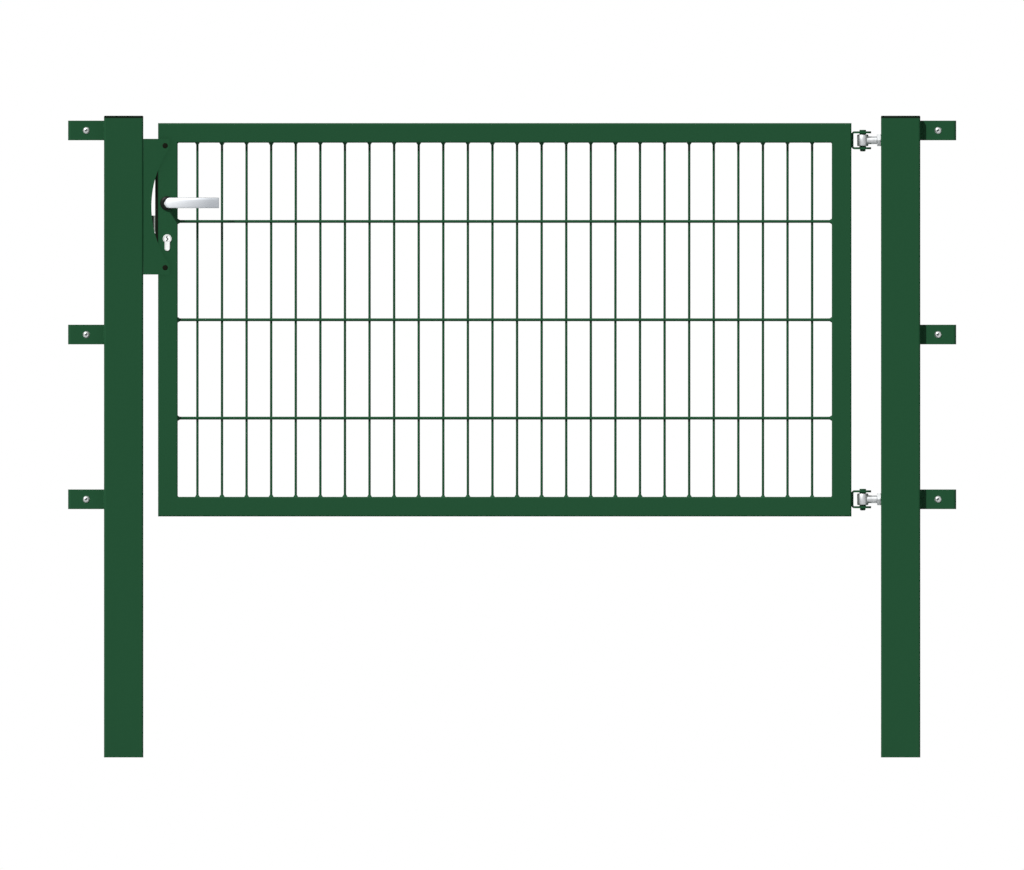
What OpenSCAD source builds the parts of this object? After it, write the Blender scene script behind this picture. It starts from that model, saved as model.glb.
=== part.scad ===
// Single leaf gate for a double rod mat fence: two square posts, a tube framed leaf and its lock.
// The origin is the centre of the hinge post's foot, +X runs along the fence, +Y to the back, +Z up.

/* [Posts] */
// Outside width and depth of each square post
post_w = 80; // [70:5:100]
// Wall of the post tube
post_wall = 3; // [2:0.5:3.5]
// Outside corner radius of the post tube
post_r = 4; // [4:0.5:8]
// Height of each post above the ground
post_h = 1300; // [1300:10:1800]
// Thickness of the cap on top of a post
cap_t = 5; // [3:0.5:10]
// Chamfer round the top of the cap
cap_chamfer = 1.5; // [0.5:0.5:2.5]
// Depth of the cap's plug inside the post
cap_plug_h = 20; // [10:1:40]
// Wall of the cap's hollow plug
cap_plug_wall = 2; // [1.5:0.5:4]
// Gap between the cap's plug and the post's wall
cap_clear = 0.3; // [0.1:0.1:0.6]

/* [Opening] */
// Clear width between the two posts
opening_w = 1500; // [1000:50:2000]
// Gap between the hinge post and the leaf
hinge_gap = 60; // [58:1:70]
// Gap between the latch post and the leaf
latch_gap = 30; // [30:1:34]
// Drop from the top of the posts to the top of the leaf
leaf_drop = 10; // [0:1:60]

/* [Leaf] */
// Height of the leaf
leaf_h = 800; // [700:10:810]
// Side of the leaf's square frame tube
tube_w = 40; // [38:1:44]
// Wall of the frame tube
tube_wall = 2; // [1.5:0.25:3]
// Outside corner radius of the frame tube
tube_r = 3; // [3:0.25:5]
// Air between the stop plate and the front of the leaf
stop_gap = 5; // [5:0.5:7]

/* [Mat] */
// Diameter of an upright wire
upright_d = 5; // [4:0.5:6]
// Diameter of each of the twin cross wires
cross_d = 6; // [5:0.5:8]
// Spacing of the upright wires
upright_pitch = 50; // [40:5:60]
// Spacing of the cross wires
cross_pitch = 200; // [150:10:220]
// Depth to which the wires sink into each other at a weld
weld_sink = 0.6; // [0.4:0.1:1]

/* [Hinges] */
// Distance of each hinge from its end of the leaf
hinge_inset = 35; // [30:1:80]
// Distance of the hinge pin from the hinge post
pin_to_post = 37; // [35:1:39]
// Diameter of the hinge pin
pin_d = 10; // [8:1:12]
// Radial gap between the pin and the eye that turns on it
pin_clear = 0.15; // [0.1:0.05:0.3]
// Radial gap between the pin and the bracket that holds it
pin_seat_clear = 0.1; // [0.05:0.05:0.2]
// Diameter of the pin's head
pin_head_d = 13.5; // [13:0.5:18]
// Height of the pin's head
pin_head_h = 3; // [2:0.5:6]
// Diameter of the riveted lower end of the pin
pin_foot_d = 11.5; // [11:0.5:18]
// Height of the riveted lower end of the pin
pin_foot_h = 4.5; // [2:0.5:8]
// Thickness of the bent bracket on the leaf
strap_t = 4.2; // [3:0.2:5]
// Width of the bent bracket
strap_w = 25; // [22:1:30]
// Outside height of the bent bracket
strap_h = 36.5; // [34:0.5:44]
// Outside radius of the bracket's bends
strap_bend_r = 6; // [5.5:0.5:8]
// Distance from the pin to the centre of the bracket's round ends
strap_nose = 4.5; // [0:0.5:5]
// Outside diameter of the collars in the bracket
collar_d = 14; // [13:0.5:20]
// Height of each collar
collar_h = 2; // [1:0.25:3]
// Play of the eye between the two collars
eye_play = 0.3; // [0.2:0.1:1]
// Outside diameter of the eye
eye_d = 23; // [20:0.5:24]
// Chamfer on the ends of the eye
eye_chamfer = 1.5; // [0.5:0.25:2]
// Diameter of the eye's threaded shank
shank_d = 16; // [12:1:16]
// Length of shank inside the post
shank_in = 26; // [20:1:40]
// Radial gap round the shank in the post's wall and in the nuts
shank_clear = 0.15; // [0.1:0.05:0.3]
// Thickness of the hexagon nuts on the shank
nut_t = 8; // [6:0.5:9]
// Size of those nuts across the flats
nut_af = 24; // [22:0.5:26]

/* [Stop] */
// Thickness of the stop plate
stop_t = 3; // [2:0.5:4]
// Reach of the stop plate from the latch post
stop_reach = 53; // [50:1:56]
// Height of the stop plate
stop_h = 276; // [240:1:310]
// Drop from the lever's axis to the middle of the stop plate
stop_sink = 7; // [0:1:10]
// Straight edge left above and below the hand cut-out
arc_end = 19.2; // [17:0.2:24]
// Distance of the cut-out's deepest point from the latch post
arc_depth = 16.5; // [14:0.5:18]
// Diameter of the rubber buffers
buffer_d = 11; // [10:0.5:11.5]
// Diameter of a buffer's neck in the stop plate
buffer_neck_d = 6; // [4:0.5:7]
// Thickness of a buffer's front head
buffer_head_t = 1.2; // [0.8:0.2:2]
// Distance of the buffers from the ends of the stop plate
buffer_inset = 14; // [10:1:14]
// Distance of the buffers from the stop plate's free edge
buffer_edge = 8.6; // [7:0.2:9]
// Gap left by a buffer in front of the closed leaf
buffer_gap = 0.3; // [0.2:0.1:0.5]

/* [Keep] */
// Depth of the keep from the latch post
keep_reach = 18.5; // [14:0.5:19]
// Width of the keep from front to back
keep_w = 44; // [40:1:50]
// Height of the keep
keep_h = 180; // [150:5:200]
// Wall of the keep
keep_wall = 3; // [2:0.5:3.5]
// Height of the slot in the keep above the latch bolt
keep_slot_over = 47.5; // [20:0.5:60]
// Gap below and above the latch bolt in the keep
keep_slot_clear = 3; // [1:0.5:5]
// Gap between the nose of the latch bolt and the keep
keep_nose_gap = 3; // [2:0.5:3.5]

/* [Lock] */
// Drop from the top of the leaf to the lever's axis
lever_drop = 163; // [150:1:175]
// Distance from the lever's axis down to the lock cylinder
cylinder_drop = 72; // [72:1:76]
// Distance from the leaf's edge to the lever's axis
backset = 18.5; // [18:0.5:19]
// Height of the lock's face plate
face_h = 190; // [182:1:200]
// Width of the face plate
face_w = 24; // [24:0.5:26]
// Depth of the face plate in front of the leaf's edge
face_t = 6; // [4:0.5:6]
// Sheet thickness of the face plate and lock case
face_wall = 2; // [1.5:0.25:2]
// Rise of the face plate's middle above the lever's axis, negative when below it
face_rise = -27; // [-28:1:-24]
// Width of the lock case inside the tube
case_w = 22; // [20:0.5:22]
// Depth of the lock case inside the tube
case_deep = 34; // [30:0.5:35]
// Height of the lock case
case_h = 180; // [175:1:180]
// Gap round the lock case in the tube
case_clear = 0.2; // [0.1:0.05:0.4]
// Height of the latch bolt
bolt_h = 33; // [28:1:34]
// Thickness of the latch bolt
bolt_t = 14; // [10:0.5:16]
// Length of the latch bolt
bolt_l = 31; // [29:0.5:33]
// Reach of the latch bolt out of the face plate
bolt_out = 12; // [10:0.5:12]
// Length of the bevel on the bolt's nose
bolt_bevel = 9; // [6:0.5:10]
// Width of the bolt's blunt nose
bolt_nose = 4; // [3:0.5:6]
// Drop from the lever's axis to the middle of the latch bolt
bolt_drop = 41.5; // [40:0.5:42]
// Gap round the latch bolt in its guides
bolt_clear = 0.5; // [0.3:0.1:0.8]
// Diameter of the lock cylinder's round head
cylinder_d = 17; // [15:0.5:17]
// Width of the lock cylinder's stem
cylinder_stem = 10; // [8:0.5:11]
// Height of the lock cylinder
cylinder_h = 33; // [30:1:34]
// Reach of the lock cylinder out of each face of the leaf
cylinder_out = 3; // [1:0.5:6]
// Gap round the lock cylinder in the tube and case
cylinder_clear = 0.3; // [0.1:0.1:0.5]
// Height of the keyway in the lock cylinder
keyway_h = 9; // [6:0.5:11]
// Width of the keyway
keyway_w = 1.6; // [1:0.2:3]
// Depth of the keyway
keyway_deep = 12; // [4:1:15]

/* [Lever handle] */
// Side of the square spindle
spindle_side = 8; // [7:0.5:8]
// Gap round the spindle in the levers
spindle_clear = 0.1; // [0.05:0.05:0.15]
// Length of spindle inside each lever's neck and bar
spindle_grip = 20; // [10:1:28]
// Diameter of the rosettes
rosette_d = 28.5; // [24:0.5:30]
// Thickness of a rosette's flange
rosette_t = 3; // [2:0.5:5]
// Diameter of a rosette's collar
rosette_collar_d = 19; // [18:0.5:22]
// Height of a rosette with its collar
rosette_h = 7; // [5:0.5:10]
// Chamfer on a rosette's flange
rosette_chamfer = 1; // [0.5:0.25:1.5]
// Gap round the spindle in the rosettes and lock case
spindle_room = 1; // [0.6:0.1:1.5]
// Gap between a rosette and its lever
lever_gap = 0.3; // [0.2:0.1:0.6]
// Diameter of a lever's neck
neck_d = 14; // [13.5:0.5:18]
// Distance from the leaf's face to the outside of a lever
lever_out = 47; // [40:1:55]
// Thickness of a lever's grip
grip_t = 14; // [10:0.5:16]
// Height of a lever's grip
grip_h = 21.4; // [18:0.2:24]
// Length of a lever's grip
grip_l = 112; // [100:1:130]
// Length of grip on the far side of the lever's axis
grip_back = 6.5; // [5:0.5:10]
// Rounding of the grip's long edges
grip_r = 6; // [3:0.5:6.5]

/* [Fence brackets] */
// Length of a fence bracket
lug_l = 73; // [70:1:80]
// Height of a fence bracket
lug_h = 40; // [30:1:50]
// Thickness of a fence bracket
lug_t = 4; // [3:0.5:5]
// Outside radius of the bracket's bend
lug_bend_r = 6; // [5.5:0.5:10]
// Depth of the bracket from its face to the end of its lip
lug_lip = 24; // [20:1:30]
// Distance of the bracket's face behind the front of the post
lug_back = 20; // [10:1:20]
// Room for the fence mat between bracket and clamp plate
mat_room = 17; // [16:0.5:20]
// Distance from the post to the clamp bolt
clamp_bolt_x = 36; // [34:1:38]
// Length of the clamp plate
clamp_l = 52; // [40:1:54]
// Diameter of the clamp bolt
clamp_bolt_d = 8; // [6:0.5:8]
// Gap round the clamp bolt in its holes
clamp_bolt_clear = 0.5; // [0.2:0.1:0.8]
// Diameter of the clamp bolt's button head
button_d = 14; // [13:0.5:16]
// Height of the button head
button_h = 4.4; // [3:0.2:6]
// Size of the hexagon socket across the flats
socket_af = 5; // [4:0.5:6]
// Depth of the hexagon socket
socket_deep = 2.6; // [1.5:0.1:2.8]
// Diameter of the clamp bolt's washer
washer_d = 16; // [14.5:0.5:20]
// Thickness of the washer
washer_t = 1.6; // [1:0.2:2.4]
// Size of the clamp bolt's nut across the flats
clamp_nut_af = 13; // [12:0.5:14]
// Height of the clamp bolt's nut
clamp_nut_h = 6.5; // [5:0.5:8]
// Length of thread behind the nut
clamp_tail = 3; // [1:0.5:8]
// Drop from the top of the post to the top bracket
lug_top_drop = 25; // [25:1:40]
// Drop from the top of the post to the middle bracket
lug_mid_drop = 440; // [300:5:600]
// Drop from the top of the post to the bottom bracket
lug_low_drop = 775; // [700:5:1200]

/* [Hidden] */
$fn = 64;
// A small overrun that takes a cut clean through a face
over = 1;
// Sides of a mat wire in the model
wire_sides = 8;
// Smallest radius of a tube's inner corners
least_r = 0.5;

// Places along the fence
latch_post_x = -(opening_w + post_w);
latch_face_x = latch_post_x + post_w / 2;
leaf_right = -(post_w / 2 + hinge_gap);
leaf_left = latch_face_x + latch_gap;
leaf_w = leaf_right - leaf_left;
pin_x = -(post_w / 2 + pin_to_post);
spindle_x = leaf_left + backset;

// Places from front to back
stop_y = -post_w / 2;
leaf_front = stop_y + stop_t + stop_gap;
leaf_mid = leaf_front + tube_w / 2;
leaf_back = leaf_front + tube_w;
lug_y = -post_w / 2 + lug_back;
clamp_y = lug_y + lug_t + mat_room;

// Heights
leaf_top = post_h - leaf_drop;
leaf_low = leaf_top - leaf_h;
lever_z = leaf_top - lever_drop;
cylinder_z = lever_z - cylinder_drop;
bolt_z = lever_z - bolt_drop;
face_z = lever_z + face_rise;
stop_z = lever_z - stop_sink;
stop_top = stop_z + stop_h / 2;
hinge_zs = [leaf_top - hinge_inset, leaf_low + hinge_inset];
buffer_zs = [stop_top - buffer_inset, stop_top - stop_h + buffer_inset];
lug_zs = [post_h - lug_top_drop, post_h - lug_mid_drop, post_h - lug_low_drop];

// The leaf's clear inside and the mat in it
inner_w = leaf_w - 2 * tube_w;
inner_h = leaf_h - 2 * tube_w;
upright_count = floor(inner_w / upright_pitch - 1) + 1;
cross_count = floor(inner_h / cross_pitch - 1) + 1;
cross_offset = (upright_d + cross_d) / 2 - weld_sink;
leaf_mid_x = (leaf_left + leaf_right) / 2;
leaf_mid_z = (leaf_low + leaf_top) / 2;

// Radius of the hand cut-out, from its length along the plate's free edge and its depth
arc_half = stop_h / 2 - arc_end;
arc_in = stop_reach - arc_depth;
arc_r = (arc_half * arc_half + arc_in * arc_in) / (2 * arc_in);

// Inside height of the bent bracket and height of the eye between its collars
strap_gap = strap_h - 2 * strap_t;
eye_h = strap_gap - 2 * collar_h - 2 * eye_play;
// Corner radius of a hexagon nut
function corner_r(across_flats) = across_flats / sqrt(3);

green = [0.145, 0.306, 0.2];
black = [0.1, 0.11, 0.1];
zinc = [0.75, 0.76, 0.77];
alloy = [0.85, 0.86, 0.88];

// A rectangle with round corners, centred
module round_rect(w, d, r) {
  square([w - 2 * r, d], center = true);
  square([w, d - 2 * r], center = true);
  for (x = [-1, 1], y = [-1, 1])
    translate([x * (w / 2 - r), y * (d / 2 - r)]) circle(r);
}

// The ring of a square tube's section
module tube_section(w, wall, r) {
  inner_r = max(r - wall, least_r);
  difference() {
    round_rect(w, w, r);
    round_rect(w - 2 * wall, w - 2 * wall, inner_r);
  }
}

// Stands a flat outline drawn in X and Z upright, from y0 back to y1
module upright_slab(y0, y1) {
  translate([0, y1, 0]) rotate([90, 0, 0]) linear_extrude(y1 - y0) children();
}

// A round bar along Y from y0 to y1
module bar_y(d, y0, y1) {
  translate([0, y1, 0]) rotate([90, 0, 0]) cylinder(d = d, h = y1 - y0);
}

// A round bar along X from x0 to x1
module bar_x(d, x0, x1) {
  translate([x0, 0, 0]) rotate([0, 90, 0]) cylinder(d = d, h = x1 - x0);
}

// Posts and caps

module post_tube() {
  linear_extrude(post_h) tube_section(post_w, post_wall, post_r);
}

module hinge_post() {
  color(green) difference() {
    post_tube();
    for (z = hinge_zs)
      translate([0, leaf_mid, z])
        bar_x(shank_d + 2 * shank_clear, -post_w / 2 - over, -post_w / 2 + post_wall + over);
  }
}

module latch_post() {
  color(green) translate([latch_post_x, 0, 0]) post_tube();
}

module cap() {
  half = post_w / 2;
  side = [[-half, 0], [half, 0], [half, cap_t - cap_chamfer], [half - cap_chamfer, cap_t],
          [cap_chamfer - half, cap_t], [-half, cap_t - cap_chamfer]];
  plug_w = post_w - 2 * post_wall - 2 * cap_clear;
  color(black) translate([0, 0, post_h]) {
    intersection() {
      linear_extrude(cap_t) round_rect(post_w, post_w, post_r);
      upright_slab(-half, half) polygon(side);
      rotate([0, 0, 90]) upright_slab(-half, half) polygon(side);
    }
    translate([0, 0, -cap_plug_h]) linear_extrude(cap_plug_h)
      tube_section(plug_w, cap_plug_wall, max(post_r - post_wall - cap_clear, least_r) + cap_plug_wall);
  }
}

// Fence brackets, drawn outwards from the outer face of the hinge post

module at_post(side) {
  if (side > 0) translate([post_w / 2, 0, 0]) children();
  else translate([latch_post_x - post_w / 2, 0, 0]) mirror([1, 0, 0]) children();
}

module bracket(side, z) {
  bend = [lug_l - lug_bend_r, lug_y + lug_bend_r];
  color(green) at_post(side) translate([0, 0, z]) difference() {
    translate([0, 0, -lug_h / 2]) linear_extrude(lug_h) difference() {
      union() {
        translate([0, lug_y]) square([lug_l - lug_bend_r, lug_t]);
        translate([lug_l - lug_t, bend[1]]) square([lug_t, lug_lip - lug_bend_r]);
        translate(bend) intersection() {
          circle(lug_bend_r);
          translate([0, -lug_bend_r]) square(lug_bend_r);
        }
      }
      translate(bend) circle(lug_bend_r - lug_t);
    }
    translate([clamp_bolt_x, 0, 0])
      bar_y(clamp_bolt_d + 2 * clamp_bolt_clear, lug_y - over, lug_y + lug_t + over);
  }
}

module clamp_plates(side) {
  color(green) at_post(side) for (z = lug_zs) difference() {
    translate([clamp_bolt_x - clamp_l / 2, clamp_y, z - lug_h / 2]) cube([clamp_l, lug_t, lug_h]);
    translate([clamp_bolt_x, 0, z])
      bar_y(clamp_bolt_d + 2 * clamp_bolt_clear, clamp_y - over, clamp_y + lug_t + over);
  }
}

module clamp_bolts(side) {
  back = clamp_y + lug_t;
  nut_y = back + washer_t;
  // Radius of the ball of which the button head is a cap
  dome_r = (pow(button_d / 2, 2) + pow(button_h, 2)) / (2 * button_h);
  color(zinc) at_post(side) for (z = lug_zs) translate([clamp_bolt_x, 0, z]) difference() {
    union() {
      intersection() {
        translate([0, lug_y - button_h + dome_r, 0]) sphere(dome_r);
        bar_y(button_d, lug_y - button_h, lug_y);
      }
      bar_y(clamp_bolt_d, lug_y, nut_y + clamp_nut_h + clamp_tail);
      bar_y(washer_d, back, nut_y);
      upright_slab(nut_y, nut_y + clamp_nut_h) circle(corner_r(clamp_nut_af), $fn = 6);
    }
    upright_slab(lug_y - button_h - over, lug_y - button_h + socket_deep)
      circle(corner_r(socket_af), $fn = 6);
  }
}

// Hinges: an eye bolt in the post, a bent bracket on the leaf and the pin through both

module hinge_eye(z) {
  side = [[0, 0], [eye_d / 2 - eye_chamfer, 0], [eye_d / 2, eye_chamfer], [eye_d / 2, eye_h - eye_chamfer],
          [eye_d / 2 - eye_chamfer, eye_h], [0, eye_h]];
  color(zinc) translate([pin_x, leaf_mid, z]) difference() {
    union() {
      translate([0, 0, -eye_h / 2]) rotate_extrude() polygon(side);
      bar_x(shank_d, 0, pin_to_post + shank_in);
    }
    cylinder(d = pin_d + 2 * pin_clear, h = eye_h + 2 * over, center = true);
  }
}

// A nut on each side of the post's wall, both with a corner to the front
module hinge_nuts(z) {
  color(zinc) for (x = [-post_w / 2 - nut_t, -post_w / 2 + post_wall]) translate([x, leaf_mid, z]) difference() {
    rotate([0, 90, 0]) rotate([0, 0, 30]) cylinder(r = corner_r(nut_af), h = nut_t, $fn = 6);
    bar_x(shank_d + 2 * shank_clear, -over, nut_t + over);
  }
}

// Side view of the bent bracket: a U that opens towards the post
module strap_side(reach) {
  module half_round(inset, r) {
    h = strap_h - 2 * inset;
    translate([inset + r, -h / 2]) square([reach - inset - r + (inset > 0 ? over : 0), h]);
    translate([inset, r - h / 2]) square([reach - inset, h - 2 * r]);
    for (y = [-1, 1]) translate([inset + r, y * (h / 2 - r)]) circle(r);
  }
  difference() {
    half_round(0, strap_bend_r);
    half_round(strap_t, strap_bend_r - strap_t);
  }
}

module hinge_bracket(z) {
  pin_out = pin_x - leaf_right;
  nose_x = pin_out + strap_nose;
  reach = nose_x + strap_w / 2;
  color(green) translate([leaf_right, leaf_mid, z]) difference() {
    union() {
      intersection() {
        upright_slab(-strap_w / 2, strap_w / 2) strap_side(reach);
        translate([0, 0, -strap_h / 2]) linear_extrude(strap_h) {
          translate([0, -strap_w / 2]) square([nose_x, strap_w]);
          translate([nose_x, 0]) circle(d = strap_w);
        }
      }
      for (side = [0, 1]) mirror([0, 0, side])
        translate([pin_out, 0, strap_gap / 2 - collar_h]) cylinder(d = collar_d, h = collar_h);
    }
    translate([pin_out, 0, 0])
      cylinder(d = pin_d + 2 * pin_seat_clear, h = strap_h + 2 * over, center = true);
  }
}

module hinge_pin(z) {
  half = strap_h / 2;
  color(green) translate([pin_x, leaf_mid, z]) {
    translate([0, 0, -half - pin_foot_h]) cylinder(d = pin_foot_d, h = pin_foot_h);
    translate([0, 0, -half]) cylinder(d = pin_d, h = strap_h);
    translate([0, 0, half]) cylinder(d = pin_head_d, h = pin_head_h);
  }
}

// Stop plate, buffers and keep on the latch post

module stop_plate() {
  buffer_x = latch_face_x + stop_reach - buffer_edge;
  color(green) difference() {
    upright_slab(stop_y, stop_y + stop_t) difference() {
      translate([latch_face_x, stop_top - stop_h]) square([stop_reach, stop_h]);
      translate([latch_face_x + arc_depth + arc_r, stop_z]) circle(arc_r, $fn = 180);
    }
    for (z = buffer_zs) translate([buffer_x, 0, z]) bar_y(buffer_neck_d, stop_y - over, stop_y + stop_t + over);
  }
}

module buffer(z) {
  color(black) translate([latch_face_x + stop_reach - buffer_edge, 0, z]) {
    bar_y(buffer_d, stop_y - buffer_head_t, stop_y);
    bar_y(buffer_neck_d, stop_y, stop_y + stop_t);
    bar_y(buffer_d, stop_y + stop_t, leaf_front - buffer_gap);
  }
}

module keep() {
  keep_y = stop_y + stop_t;
  slot_low = bolt_z - bolt_h / 2 - keep_slot_clear;
  slot_h = bolt_h + 2 * keep_slot_clear + keep_slot_over;
  slot_x = leaf_left - face_t - bolt_out - keep_nose_gap;
  color(green) difference() {
    translate([latch_face_x, keep_y, stop_z - keep_h / 2]) cube([keep_reach, keep_w, keep_h]);
    translate([latch_face_x + keep_wall, keep_y + keep_wall, stop_z - keep_h / 2 - over])
      cube([keep_reach - 2 * keep_wall, keep_w - 2 * keep_wall, keep_h + 2 * over]);
    translate([slot_x, keep_y - over, slot_low]) cube([keep_reach, keep_w + 2 * over, slot_h]);
  }
}

// Leaf frame: four mitred tubes, each cut to its own outline

module stile(x, inner_side) {
  across = inner_side * tube_w;
  ends = [[-across / 2, leaf_low], [across / 2, leaf_low + tube_w],
          [across / 2, leaf_top - tube_w], [-across / 2, leaf_top]];
  translate([x, 0, 0]) intersection() {
    translate([0, leaf_mid, leaf_low]) linear_extrude(leaf_h) tube_section(tube_w, tube_wall, tube_r);
    upright_slab(leaf_front - over, leaf_back + over) polygon(ends);
  }
}

module rail(z, inner_side) {
  across = inner_side * tube_w;
  ends = [[leaf_left, z - across / 2], [leaf_right, z - across / 2],
          [leaf_right - tube_w, z + across / 2], [leaf_left + tube_w, z + across / 2]];
  color(green) intersection() {
    translate([leaf_left, leaf_mid, z]) rotate([0, 90, 0]) linear_extrude(leaf_w)
      tube_section(tube_w, tube_wall, tube_r);
    upright_slab(leaf_front - over, leaf_back + over) polygon(ends);
  }
}

module latch_stile() {
  color(green) difference() {
    stile(leaf_left + tube_w / 2, 1);
    translate([leaf_left - over, leaf_mid - case_w / 2 - case_clear, face_z - case_h / 2 - case_clear])
      cube([tube_wall + 2 * over, case_w + 2 * case_clear, case_h + 2 * case_clear]);
    translate([spindle_x, 0, lever_z]) bar_y(spindle_hole_d(), leaf_front - over, leaf_back + over);
    upright_slab(leaf_front - over, leaf_back + over) cylinder_outline(cylinder_clear);
  }
}

module hinge_stile() {
  color(green) stile(leaf_right - tube_w / 2, -1);
}

module top_rail() {
  rail(leaf_top - tube_w / 2, -1);
}

module bottom_rail() {
  rail(leaf_low + tube_w / 2, 1);
}

module mat_panel() {
  color(green) {
    for (i = [0 : upright_count - 1])
      translate([leaf_mid_x + (i - (upright_count - 1) / 2) * upright_pitch, leaf_mid, leaf_low + tube_w])
        cylinder(d = upright_d, h = inner_h, $fn = wire_sides);
    for (i = [0 : cross_count - 1], side = [-1, 1])
      translate([leaf_left + tube_w, leaf_mid + side * cross_offset,
                 leaf_mid_z + (i - (cross_count - 1) / 2) * cross_pitch])
        rotate([0, 90, 0]) cylinder(d = cross_d, h = inner_w, $fn = wire_sides);
  }
}

// Lock: face plate, case, cylinder and latch bolt

function spindle_hole_d() = spindle_side * sqrt(2) + 2 * spindle_room;

// Outline of the lock cylinder, grown by a gap
module cylinder_outline(gap) {
  foot_z = cylinder_z + cylinder_d / 2 - cylinder_h + cylinder_stem / 2;
  translate([spindle_x, cylinder_z]) circle(cylinder_d / 2 + gap);
  translate([spindle_x, foot_z]) circle(cylinder_stem / 2 + gap);
  translate([spindle_x - cylinder_stem / 2 - gap, foot_z]) square([cylinder_stem + 2 * gap, cylinder_z - foot_z]);
}

// The space that the latch bolt slides in, from x0 to x1
module bolt_room(x0, x1) {
  translate([x0, leaf_mid - bolt_t / 2 - bolt_clear, bolt_z - bolt_h / 2 - bolt_clear])
    cube([x1 - x0, bolt_t + 2 * bolt_clear, bolt_h + 2 * bolt_clear]);
}

module lock_face_plate() {
  color(black) difference() {
    translate([leaf_left - face_t, leaf_mid - face_w / 2, face_z - face_h / 2]) cube([face_t, face_w, face_h]);
    translate([leaf_left - face_t + face_wall, leaf_mid - face_w / 2 + face_wall, face_z - face_h / 2 + face_wall])
      cube([face_t, face_w - 2 * face_wall, face_h - 2 * face_wall]);
    bolt_room(leaf_left - face_t - over, leaf_left - face_t + face_wall + over);
  }
}

module lock_case() {
  color(zinc) difference() {
    translate([leaf_left, leaf_mid - case_w / 2, face_z - case_h / 2]) cube([case_deep, case_w, case_h]);
    translate([leaf_left + face_wall, leaf_mid - case_w / 2 + face_wall, face_z - case_h / 2 + face_wall])
      cube([case_deep - 2 * face_wall, case_w - 2 * face_wall, case_h - 2 * face_wall]);
    bolt_room(leaf_left - over, leaf_left + face_wall + over);
    translate([spindle_x, 0, lever_z]) bar_y(spindle_hole_d(), leaf_front, leaf_back);
    upright_slab(leaf_front, leaf_back) cylinder_outline(cylinder_clear);
  }
}

module lock_cylinder() {
  color(zinc) difference() {
    upright_slab(leaf_front - cylinder_out, leaf_back + cylinder_out) cylinder_outline(0);
    translate([spindle_x - keyway_w / 2, leaf_front - cylinder_out - over, cylinder_z - keyway_h / 2])
      cube([keyway_w, keyway_deep + over, keyway_h]);
    translate([spindle_x - keyway_w / 2, leaf_back + cylinder_out - keyway_deep, cylinder_z - keyway_h / 2])
      cube([keyway_w, keyway_deep + over, keyway_h]);
  }
}

module latch_bolt() {
  nose_x = leaf_left - face_t - bolt_out;
  half = bolt_t / 2;
  plan = [[nose_x, half], [nose_x + bolt_l, half], [nose_x + bolt_l, -half],
          [nose_x + bolt_bevel, -half], [nose_x, half - bolt_nose]];
  color(zinc) translate([0, leaf_mid, bolt_z - bolt_h / 2]) linear_extrude(bolt_h) polygon(plan);
}

// Lever handles, drawn for the front and turned over for the back

module on_face(side) {
  if (side < 0) translate([spindle_x, leaf_front, lever_z]) children();
  else translate([spindle_x, leaf_back, lever_z]) mirror([0, 1, 0]) children();
}

module rosette(side) {
  flange_r = rosette_d / 2;
  collar_r = rosette_collar_d / 2;
  outline = [[spindle_hole_d() / 2, 0], [flange_r, 0], [flange_r, rosette_t - rosette_chamfer],
             [flange_r - rosette_chamfer, rosette_t], [collar_r, rosette_t], [collar_r, rosette_h],
             [spindle_hole_d() / 2, rosette_h]];
  color(black) on_face(side) rotate([90, 0, 0]) rotate_extrude() polygon(outline);
}

module lever(side) {
  grip_y = grip_t / 2 - lever_out;
  bend_x = grip_h / 2 - grip_back;
  hole = spindle_side + 2 * spindle_clear;
  color(alloy) on_face(side) difference() {
    union() {
      bar_y(neck_d, grip_y, -rosette_h - lever_gap);
      translate([bend_x, grip_y, 0]) {
        rotate([90, 0, 0]) rotate([0, 0, 90]) rotate_extrude(angle = 180) intersection() {
          round_rect(grip_h, grip_t, grip_r);
          translate([0, -grip_t / 2]) square([grip_h / 2, grip_t]);
        }
        rotate([90, 0, 90]) linear_extrude(grip_l - grip_h / 2) round_rect(grip_t, grip_h, grip_r);
      }
    }
    translate([-hole / 2, -rosette_h - lever_gap - spindle_grip - spindle_clear, -hole / 2])
      cube([hole, spindle_grip + spindle_clear + over, hole]);
  }
}

module spindle() {
  reach = rosette_h + lever_gap + spindle_grip;
  color(zinc) translate([spindle_x - spindle_side / 2, leaf_front - reach, lever_z - spindle_side / 2])
    cube([spindle_side, tube_w + 2 * reach, spindle_side]);
}

hinge_post();
latch_post();
cap();  // hinge_post_cap
translate([latch_post_x, 0, 0]) cap();  // latch_post_cap
bracket(1, lug_zs[0]);  // hinge_post_top_bracket
bracket(1, lug_zs[1]);  // hinge_post_middle_bracket
bracket(1, lug_zs[2]);  // hinge_post_bottom_bracket
bracket(-1, lug_zs[0]);  // latch_post_top_bracket
bracket(-1, lug_zs[1]);  // latch_post_middle_bracket
bracket(-1, lug_zs[2]);  // latch_post_bottom_bracket
clamp_plates(1);  // hinge_post_clamp_plates
clamp_plates(-1);  // latch_post_clamp_plates
clamp_bolts(1);  // hinge_post_clamp_bolts
clamp_bolts(-1);  // latch_post_clamp_bolts
hinge_eye(hinge_zs[0]);  // top_hinge_eye
hinge_eye(hinge_zs[1]);  // bottom_hinge_eye
hinge_nuts(hinge_zs[0]);  // top_hinge_nuts
hinge_nuts(hinge_zs[1]);  // bottom_hinge_nuts
stop_plate();
keep();
buffer(buffer_zs[0]);  // upper_buffer
buffer(buffer_zs[1]);  // lower_buffer
latch_stile();
hinge_stile();
top_rail();
bottom_rail();
mat_panel();
hinge_bracket(hinge_zs[0]);  // top_hinge_bracket
hinge_bracket(hinge_zs[1]);  // bottom_hinge_bracket
hinge_pin(hinge_zs[0]);  // top_hinge_pin
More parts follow.
